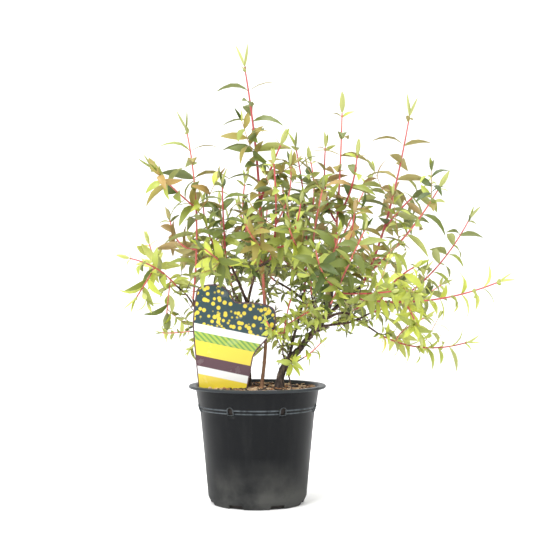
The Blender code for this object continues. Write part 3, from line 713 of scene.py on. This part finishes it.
def prism(outline, inner, outer, turn, material):
    """A prism of an outline (across, height) through the pot's wall at one angle."""
    bm = bmesh.new()
    face = bm.faces.new([bm.verts.new((across, -inner, height)) for across, height in outline])
    made = bmesh.ops.extrude_face_region(bm, geom=[face], use_keep_orig=True)
    bmesh.ops.translate(bm, vec=(0, inner - outer, 0), verts=new_verts(made))
    bmesh.ops.rotate(bm, verts=bm.verts, cent=(0, 0, 0), matrix=Matrix.Rotation(turn, 3, "Z"))
    bmesh.ops.recalc_face_normals(bm, faces=bm.faces)
    return make_object(bm, "tool", material)


def arch_outline(half, steps):
    """An arched hole's outline as (across, height) points."""
    arc = [math.pi * step / steps for step in range(steps + 1)]
    return [(-half, NOTCH_LOW), (half, NOTCH_LOW)] + [
        (half * math.cos(a), NOTCH_HIGH - half + half * math.sin(a)) for a in arc]


def make_pot():
    """The pot with its arched holes and drains, and the low frame round each hole."""
    plastic = pot_plastic()
    rim = [
        (RIM_RADIUS - 1, POT_HEIGHT - RIM_DEPTH), (RIM_RADIUS, POT_HEIGHT - RIM_DEPTH + 0.8),
        (RIM_RADIUS, POT_HEIGHT - 0.8), (RIM_RADIUS - 0.8, POT_HEIGHT),
    ]
    shell = rounded(pot_outside() + rim + pot_inside(), CORNER_EASE)
    bm = turned([(0, 0)] + in_short_steps(shell, PROFILE_STEP) + [(0, FLOOR)])
    pot = make_object(bm, "pot_shell", plastic, 40)
    half = NOTCH_WIDTH / 2
    arch = arch_outline(half, 8)
    side = DRAIN_WIDTH / 2
    top = side - DRAIN_SLANT
    drain = [(-side, -1), (side, -1), (top, DRAIN_HEIGHT), (-top, DRAIN_HEIGHT)]
    turns = [math.tau * (n + 0.5) / NOTCHES for n in range(NOTCHES)]
    tools = []
    for turn in turns:
        tools.append(prism(arch, BODY_RADIUS - TOOL_ROOM, STEP_RADIUS + TOOL_ROOM, turn, plastic))
        tools.append(prism(drain, FOOT_RADIUS - DRAIN_DEPTH, HIP_RADIUS + TOOL_ROOM, turn, plastic))
    cut(pot, tools)
    dress(pot, "pot", ["pot"])
    frames = bmesh.new()
    for turn in turns:
        add_notch_frame(frames, arch_outline(half + 0.1, 10), turn)
    dress(make_object(frames, "pot_notch_frames", pot_edge(), 40), "pot", [])


def add_notch_frame(bm, outline, turn):
    """A raised bead of moulded plastic round one hole, on the pot's wall."""
    middle = (NOTCH_LOW + NOTCH_HIGH) / 2
    rings = []
    for grow, out in FRAME_RINGS:
        ring = []
        for across, height in outline:
            away = Vector((across, height - middle)).normalized() * grow
            height += away.y
            share = (height - RING_Z) / (STEP_Z - RING_Z)
            wall = BODY_RADIUS + (STEP_RADIUS - BODY_RADIUS) * min(1, max(0, share))
            spot = Vector((across + away.x, -(wall + out), height))
            ring.append(bm.verts.new(Matrix.Rotation(turn, 3, "Z") @ spot))
        rings.append(ring)
    for one, other in zip(rings, rings[1:]):
        for n in range(len(one)):
            m = (n + 1) % len(one)
            bm.faces.new((one[n], other[n], other[m], one[m]))


def make_soil():
    """The compost and the chips of bark on it."""
    inside = [point for point in pot_inside(GAP) if point[1] < SOIL_TOP]
    top = [(radius, SOIL_TOP) for radius in (0, *SOIL_RINGS)]
    bm = turned(top + [(SOIL_EDGE, SOIL_TOP - 1)] + inside + [(0, FLOOR + GAP)])
    for vert in bm.verts:
        if vert.co.z > SOIL_TOP - 2 and vert.co.xy.length < SOIL_EDGE - 2:
            vert.co.z += sum(size * noise.noise(vert.co * close) for size, close in SOIL_WAVES)
    dress(make_object(bm, "soil_bed", soil_compost(), 60), "soil", ["soil"])
    rng = random.Random(SEED)
    piles = {kind: bmesh.new() for kind in CHIP_COLOURS}
    for _ in range(CHIPS):
        add_chip(piles[rng.choice(CHIP_KINDS)], rng)
    for kind, pile in piles.items():
        bmesh.ops.bevel(pile, geom=pile.edges[:], offset=0.25, segments=1, profile=0.5,
                        affect="EDGES", material=-1)
        dress(make_object(pile, "soil_chips_" + kind, chip_wood(kind), 25), "soil", [])


def add_chip(pile, rng):
    """One crooked flake, lying somewhere on the soil."""
    length = rng.uniform(*CHIP_LENGTH)
    scale = (length, length * rng.uniform(*CHIP_WIDTH), length * rng.uniform(*CHIP_THICK), 1)
    radius = CHIP_SPREAD * math.sqrt(rng.random())
    around = rng.uniform(0, math.tau)
    spot = Vector((radius * math.cos(around), radius * math.sin(around), 0))
    spot.z = SOIL_TOP + 1.2 * noise.noise(spot * 0.09) + rng.uniform(*CHIP_LIFT)
    turn = Matrix.Rotation(rng.uniform(0, math.tau), 4, "Z")
    turn = turn @ Matrix.Rotation(rng.uniform(-0.45, 0.45), 4, "X")
    turn = turn @ Matrix.Rotation(rng.uniform(-0.3, 0.3), 4, "Y")
    corners = bmesh.ops.create_cube(pile, size=1)["verts"]
    for corner in corners:
        corner.co += Vector([rng.uniform(-CHIP_STRAY, CHIP_STRAY) for _ in range(3)])
    place = Matrix.Translation(spot) @ turn @ Matrix.Diagonal(scale)
    bmesh.ops.transform(pile, verts=corners, matrix=place)


def make_label():
    """The tag on its spike, with a plain border round the print on its front."""
    bm = bmesh.new()
    corners = [(bm.verts.new((x - LABEL_MIDDLE, -LABEL_THICK / 2, z)), rounding)
               for x, z, rounding in LABEL_CORNERS]
    bm.faces.new([vert for vert, _ in corners])
    for vert, rounding in corners:
        if rounding:
            bmesh.ops.bevel(bm, geom=[vert], offset=rounding, segments=10, profile=0.5,
                            affect="VERTICES", material=-1)
    made = bmesh.ops.extrude_face_region(bm, geom=bm.faces[:], use_keep_orig=True)
    bmesh.ops.translate(bm, vec=(0, LABEL_THICK, 0), verts=new_verts(made))
    bmesh.ops.remove_doubles(bm, verts=bm.verts, dist=0.01)
    bmesh.ops.recalc_face_normals(bm, faces=bm.faces)
    place = Matrix.Translation((LABEL_MIDDLE, LABEL_Y, 0)) @ Matrix.Rotation(-LABEL_TURN, 4, "Z")
    bmesh.ops.transform(bm, matrix=place, verts=bm.verts)
    bm.faces.ensure_lookup_table()
    front = max(bm.faces, key=lambda face: -face.normal.y * face.calc_area())
    border = bmesh.ops.inset_region(bm, faces=[front], thickness=LABEL_BORDER)["faces"]
    for face in border:
        face.material_index = 1
    tag = make_object(bm, "label_tag", label_print(), 30)
    tag.data.materials.append(label_edge())
    dress(tag, "label", ["label"])


# Lines and tubes

def smooth_line(bends, step):
    """Points about a step apart on a smooth curve through the bends."""
    bends = [Vector(bend) for bend in bends]
    ends = [2 * bends[0] - bends[1]] + bends + [2 * bends[-1] - bends[-2]]
    line = [bends[0]]
    for before, start, end, after in zip(ends, ends[1:], ends[2:], ends[3:]):
        parts = max(1, round((end - start).length / step))
        for part in range(1, parts + 1):
            t = part / parts
            line.append(0.5 * (2 * start + (end - before) * t
                               + (2 * before - 5 * start + 4 * end - after) * t ** 2
                               + (3 * start - before - 3 * end + after) * t ** 3))
    return line


def bowed_line(root, middle, tip, step):
    """Points on a bow from the root through the middle to the tip."""
    pull = 2 * middle - (root + tip) / 2
    parts = max(2, round((tip - root).length / step))
    shares = [part / parts for part in range(parts + 1)]
    return [(1 - t) ** 2 * root + 2 * t * (1 - t) * pull + t ** 2 * tip for t in shares]


def directions(line):
    ends = [line[0]] + line + [line[-1]]
    return [(after - before).normalized() for before, after in zip(ends, ends[2:])]


def point_on(line, share):
    """The place and the direction at a share of a line's points."""
    spot = min(share, 0.9999) * (len(line) - 1)
    start = int(spot)
    heading = (line[start + 1] - line[start]).normalized()
    return line[start].lerp(line[start + 1], spot - start), heading


def tube(line, radii, sides):
    """A closed tapering tube along a line."""
    facings = directions(line)
    turn = UP.rotation_difference(facings[0])
    sections = []
    for n, (centre, radius, facing) in enumerate(zip(line, radii, facings)):
        turn = facings[max(n - 1, 0)].rotation_difference(facing) @ turn
        sections.append(Matrix.LocRotScale(centre, turn, Vector((radius, radius, radius))))
    bm = bmesh.new()
    bmesh.ops.create_circle(bm, radius=1, segments=sides, matrix=sections[0])
    first = ring = bm.edges[:]
    for section, before in zip(sections[1:], sections):
        made = bmesh.ops.extrude_edge_only(bm, edges=ring)
        verts = new_verts(made)
        ring = [item for item in made["geom"] if isinstance(item, bmesh.types.BMEdge)
                and all(vert in verts for vert in item.verts)]
        bmesh.ops.transform(bm, matrix=section @ before.inverted(), verts=verts)
    bmesh.ops.holes_fill(bm, edges=first + ring, sides=sides)
    bmesh.ops.recalc_face_normals(bm, faces=bm.faces)
    return bm


# Limbs

def limb_line(name):
    """Points along a limb; one that stands in the soil starts a little below its top."""
    line = smooth_line(LIMBS[name][2], BARK_STEP)
    if name in GROUNDED:
        line[0] = line[0] - UP * SUNK
    return line


def limb_radii(line, foot, tip, grounded, walked):
    """A limb's taper, with its swollen joints and its flare at the soil."""
    last = len(line) - 1
    radii = []
    for n, point in enumerate(line):
        walked += (point - line[max(n - 1, 0)]).length
        radius = foot + (tip - foot) * n / last
        from_joint = (walked % JOINT_EVERY - JOINT_EVERY / 2) / JOINT_REACH
        fade = max(0, 1 - (point.z - SOIL_TOP) / FLARE_HEIGHT) if grounded else 0
        swelling = JOINT_SWELLING * math.exp(-from_joint ** 2)
        radii.append(radius * (1 + swelling + (ROOT_FLARE - 1) * fade ** 2))
    return radii


def roughen(bm, depth):
    """Push a limb's skin in and out by a noise, drawn out along its height."""
    bm.normal_update()
    for vert in bm.verts:
        spot = Vector((vert.co.x, vert.co.y, vert.co.z / 2)) * 0.45
        vert.co += vert.normal * depth * noise.fractal(spot, 0.6, 2.0, 4)


def make_limbs():
    """Each limb with swollen joints, and with bark in relief, slight on the smooth cane."""
    rough = bark("bark_rough", (0.018, 0.011, 0.009), (0.12, 0.08, 0.056), 0.15)
    thin = bark("bark_thin", (0.04, 0.02, 0.015), (0.15, 0.08, 0.052), 0.3)
    cane = cane_skin()
    for number, (name, (foot, tip, _)) in enumerate(LIMBS.items()):
        line = limb_line(name)
        bm = tube(line, limb_radii(line, foot, tip, name in GROUNDED, number * 5.0), BARK_SIDES)
        if name == "tall_cane":
            relief, finish, slot = CANE_RELIEF, cane, "cane"
        else:
            relief = THICK_RELIEF if foot > THICK_LIMB else THIN_RELIEF
            finish = rough if foot > ROUGH_LIMB else thin
            slot = "bark"
        roughen(bm, relief * foot)
        dress(make_object(bm, "limb_" + name, finish, 50), slot, [name])


# Foliage

class Shoot:
    """One shoot or twig: its middle line, its radii and its leaf length."""

    def __init__(self, line, radius, leaf, young):
        self.leaf = leaf
        self.young = young
        if young:
            line = line + [line[-1] + (line[-1] - line[-2]).normalized() * leaf * TIP_REACH]
        self.line = line
        last = len(line) - 1
        end = SHOOT_TIP_RADIUS * (YOUNG_TIP if young else TWIG_TIP)
        self.radii = [radius + (end - radius) * (n / last) ** SHOOT_TAPER for n in range(last + 1)]


def length_of(line):
    return sum((b - a).length for a, b in zip(line, line[1:]))


def leaf_pairs(shoot, rng, droop):
    """Every leaf's root, heading, back, length, arch, fold and share of the way up its shoot.

    Each pair is square to the last, and a folded pair ends the shoot.
    """
    count = max(2, round(length_of(shoot.line) / (shoot.leaf * NODE_SPACING)))
    spin = rng.uniform(0, math.pi)
    for n in range(count + 1):
        tip = n == count
        last = n == count - 1 and shoot.young
        share = 1.0 if tip else (n + (0.8 if last else 0.5)) / (count + 0.25)
        young = max(0, share - YOUNG_FROM) / (1 - YOUNG_FROM)
        spot, up = point_on(shoot.line, share)
        angle = TIP_ANGLE if tip else LEAF_ANGLE * (1.2 - 0.25 * share - 0.3 * young)
        middle = math.sin(math.pi * min(1, 0.12 + share * 0.6))
        size = BASE_LEAF + (1 - BASE_LEAF) * (middle - young ** 2)
        if tip or last:
            size = TIP_LEAF if tip else YOUNG_PAIR
        for half in range(2):
            way = up.orthogonal()
            turn = spin + n * math.pi / 2 + half * math.pi + rng.uniform(-0.2, 0.2)
            way.rotate(Quaternion(up, turn))
            tilt = angle * rng.uniform(0.82, 1.18)
            heading = up * math.cos(tilt) + way * math.sin(tilt)
            if not tip:
                sag = LEAF_DROOP * droop * (1 - 0.6 * young) * rng.uniform(0.5, 1.5)
                heading = (heading - UP * sag).normalized()
            length = shoot.leaf * size * LEAF_SCALE * rng.uniform(0.88, 1.1)
            roll = Quaternion(heading, 0 if tip else rng.gauss(0, LEAF_ROLL))
            fold = rng.uniform(*(TIP_FOLD if tip else LEAF_FOLD))
            arch = rng.uniform(*(TIP_ARCH if tip else LEAF_ARCH))
            yield spot, heading, roll @ up, length, arch, fold, share


def aside(up, rng):
    """A random direction square to another."""
    side = up.orthogonal()
    side.rotate(Quaternion(up, rng.uniform(0, math.tau)))
    return side


def short_twig(root, heading, reach, rise, step, leaf):
    """A twig along a heading, its tip lifted by a share of its reach."""
    tip = root + heading * reach + UP * reach * rise
    line = bowed_line(root, root + heading * reach * 0.5, tip, step)
    return Shoot(line, TWIG_RADIUS, leaf, young=False)


def side_twigs(shoot, rng, stem):
    """Short twigs along a shoot; a stem bears them only on its lower part."""
    length = length_of(shoot.line)
    for n in range(round(length * (STEM_TWIGS if stem else 1) / TWIG_EVERY)):
        share = min(0.85, (n + rng.uniform(0.25, 0.75)) * TWIG_EVERY / length)
        root, up = point_on(shoot.line, share)
        heading = up * math.cos(TWIG_ANGLE) + aside(up, rng) * math.sin(TWIG_ANGLE)
        reach = shoot.leaf * rng.uniform(*TWIG_REACH)
        yield short_twig(root, heading, reach, 0.25, TWIG_STEP, shoot.leaf * TWIG_LEAF)


def main_shoots(limb, rows):
    """The stem, which goes on from its limb's tip, and the shoots that leave it."""
    end = limb_line(limb)[-1]
    radius = LIMBS[limb][1]
    shoots = []
    for share, middle, tip, leaf in rows:
        root = point_on(shoots[0].line, share)[0] if shoots else end
        line = bowed_line(root, Vector(middle), Vector(tip), SHOOT_STEP)
        leaf = max(leaf, FULL_LEAF) if leaf > SHORT_LEAF else leaf
        shoots.append(Shoot(line, radius * (SIDE_SHOOT if shoots else 1), leaf, young=True))
    return shoots


def limb_twigs(name, rng):
    """Short leafy twigs along the upper wood of a limb, turned away from the label."""
    line = limb_line(name)
    length = length_of(line)
    for n in range(round((1 - LIMB_TWIGS_FROM) * length / LIMB_TWIG_EVERY)):
        share = LIMB_TWIGS_FROM + (n + rng.random()) * LIMB_TWIG_EVERY / length
        root, up = point_on(line, min(0.98, share))
        side = aside(up, rng)
        heading = (up * rng.uniform(0.2, 0.9) + side + UP * 0.25).normalized()
        if root.x < LABEL_SIDE and root.z < LABEL_OVER:
            heading.y = abs(heading.y)
        reach = rng.uniform(*LIMB_TWIG_REACH)
        leaf = rng.uniform(*LIMB_TWIG_LEAF)
        yield short_twig(root, heading, reach, 0.2, TWIG_STEP / 2, leaf)


class Heap:
    """Many leaves in one mesh, upper sides and undersides in two materials."""

    def __init__(self):
        self.verts = []
        self.faces = []
        self.sides = []

    def add_leaf(self, root, heading, back, length, arch, fold):
        """Add a thin closed blade, arched along its length and folded along its middle."""
        across = heading.cross(back).normalized()
        back = across.cross(heading)
        half = length * LEAF_WIDTH / 2
        upper, under = [], []
        for row, (share, width) in enumerate(zip(LEAF_ROWS, LEAF_HALVES)):
            bend = length * arch * (4 * share * (1 - share) - 1.1 * share ** 2)
            tops, lows = [], []
            for column in LEAF_COLUMNS if width else (0.0,):
                rise = bend + half * width * fold * (abs(column) - 0.25 * column ** 2)
                out = column * half * width * (1 - 0.35 * fold)
                spot = root + heading * length * share + back * rise + across * out
                tops.append(self.new_vert(spot))
                inner = width and row and abs(column) < 1
                lows.append(self.new_vert(spot - back * LEAF_THICK) if inner else tops[-1])
            upper.append(tops)
            under.append(lows)
        self.add_side(upper, 0)
        self.add_side(under, 1)

    def add_side(self, rows, side):
        """Join one side's rows of points with faces, turned over on the underside."""
        for one, other in zip(rows, rows[1:]):
            for n in range(len(one) - 1):
                far = other if len(other) == 1 else (other[n + 1], other[n])
                face = (one[n], one[n + 1], *far)
                self.faces.append(face[::-1] if side else face)
                self.sides.append(side)

    def new_vert(self, spot):
        self.verts.append(tuple(spot * MM))
        return len(self.verts) - 1

    def piece(self, name, materials):
        mesh = bpy.data.meshes.new(name)
        mesh.from_pydata(self.verts, [], self.faces)
        mesh.polygons.foreach_set("material_index", self.sides)
        return place_mesh(mesh, name, materials, 70)


def add_stem(bundle, shoot, sides):
    """Add a shoot's tube to the mesh that many shoots share."""
    stem = tube(shoot.line, shoot.radii, sides)
    mesh = bpy.data.meshes.new("stem")
    stem.to_mesh(mesh)
    stem.free()
    bundle.from_mesh(mesh)
    bpy.data.meshes.remove(mesh)


def usual_colour(tint, rng):
    names, weights = zip(*LEAF_SHARES[tint])
    return rng.choices(names, weights)[0]


def leaf_colour(shoot, share, own, tint, rng):
    """Mostly the spray's own colour, but paler on some twigs and tips."""
    colour = own
    if rng.random() < STRAY_LEAVES:
        colour = usual_colour(tint, rng)
    if not shoot.young and rng.random() < PALE_ON_TWIGS:
        colour = rng.choice(("lime", "fresh", "green"))
    elif shoot.young and share > PALE_FROM and rng.random() < PALE_AT_TIPS:
        colour = "lime" if tint == "lime" else "fresh"
    return colour


def make_foliage():
    """Grow every mass on from its limb: shoots, finer twigs, and leaves in opposite pairs."""
    heaps = {colour: Heap() for colour in LEAF_COLOURS}
    bundles = {kind: bmesh.new() for kind in SHOOT_COLOURS}
    masses = [*FOLIAGE.values()] + [(limb, "green", ()) for limb in BARE_WOOD]
    for number, (limb, tint, rows) in enumerate(masses):
        rng = random.Random(SEED + number)
        main = main_shoots(limb, rows)
        twigs = [twig for n, shoot in enumerate(main) for twig in side_twigs(shoot, rng, n == 0)]
        rng = random.Random(SEED * 2 + number)
        wood = list(limb_twigs(limb, rng))
        for shoot in main + twigs + wood:
            if shoot.young:
                kind = rng.choice(("red", "rose"))
            else:
                kind = "young" if shoot in twigs else "wood"
            add_stem(bundles[kind], shoot, MAIN_SIDES if shoot.young else TWIG_SIDES)
            own = usual_colour(tint, rng).replace("yellow", "lime")
            for *leaf, share in leaf_pairs(shoot, rng, LIME_DROOP if tint == "lime" else 1.0):
                heaps[leaf_colour(shoot, share, own, tint, rng)].add_leaf(*leaf)
    for colour, (slot, upper, under) in LEAF_COLOURS.items():
        materials = [leaf_side("leaf_" + colour, upper, 0.42),
                     leaf_side("leaf_under_" + colour, under, 0.62)]
        nodes = ["foliage_" + mass for mass, (_, tint, _) in FOLIAGE.items() if tint == colour]
        dress(heaps[colour].piece("leaves_" + colour, materials), slot, nodes)
    for kind, bundle in bundles.items():
        dress(make_object(bundle, "shoots_" + kind, shoot_skin(kind), 60), "cane", [])


# Stage

def make_floor():
    """A pale floor that sweeps up into a backdrop."""
    turns = [math.pi * n / 24 for n in range(13)]
    bend = [(BEND_START + BEND_RADIUS * math.sin(a), BEND_RADIUS * (1 - math.cos(a))) for a in turns]
    profile = [(FLOOR_FRONT, 0)] + bend + [(BEND_START + BEND_RADIUS, BACKDROP_TOP)]
    bm = bmesh.new()
    left = [bm.verts.new((-FLOOR_WIDTH / 2, y, z)) for y, z in profile]
    edges = [bm.edges.new(pair) for pair in zip(left, left[1:])]
    made = bmesh.ops.extrude_edge_only(bm, edges=edges)
    bmesh.ops.translate(bm, vec=(FLOOR_WIDTH, 0, 0), verts=new_verts(made))
    paper = Paint("floor_paper", (0.93, 0.93, 0.93), 0.7)
    make_object(bm, "floor", paper.material)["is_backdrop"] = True


def make_lights():
    """A white world and soft area lights, with colours shown as they are."""
    world = bpy.data.worlds.new("studio")
    world.use_nodes = True
    background = world.node_tree.nodes["Background"]
    background.inputs["Color"].default_value = (1, 1, 1, 1)
    background.inputs["Strength"].default_value = 1.0
    scene.world = world
    scene.view_settings.view_transform = "Standard"
    for name, spot, size, energy in LIGHTS:
        lamp = bpy.data.lights.new(name, "AREA")
        lamp.size = size
        lamp.energy = energy
        light = new_object(name, lamp)
        light.location = spot
        toward = LIT_SPOT - light.location
        light.rotation_euler = toward.to_track_quat("-Z", "Y").to_euler()


def make_camera():
    """Level, just above the label's top, as the photograph was taken."""
    lens = bpy.data.cameras.new("camera")
    lens.sensor_width = 36
    lens.lens = lens.sensor_width * PHOTO_FOCAL / PHOTO_WIDTH
    lens.clip_start = 0.05
    camera = new_object("camera", lens)
    camera.location = CAMERA_PLACE
    camera.rotation_euler = (math.pi / 2, 0, 0)
    scene.camera = camera


make_camera()
make_floor()
make_lights()
make_pot()
make_soil()
make_label()
make_limbs()
make_foliage()

boxes = {"cad": cad_box, "visual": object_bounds()}
{name: [list(corner) for corner in box] for name, box in boxes.items()}
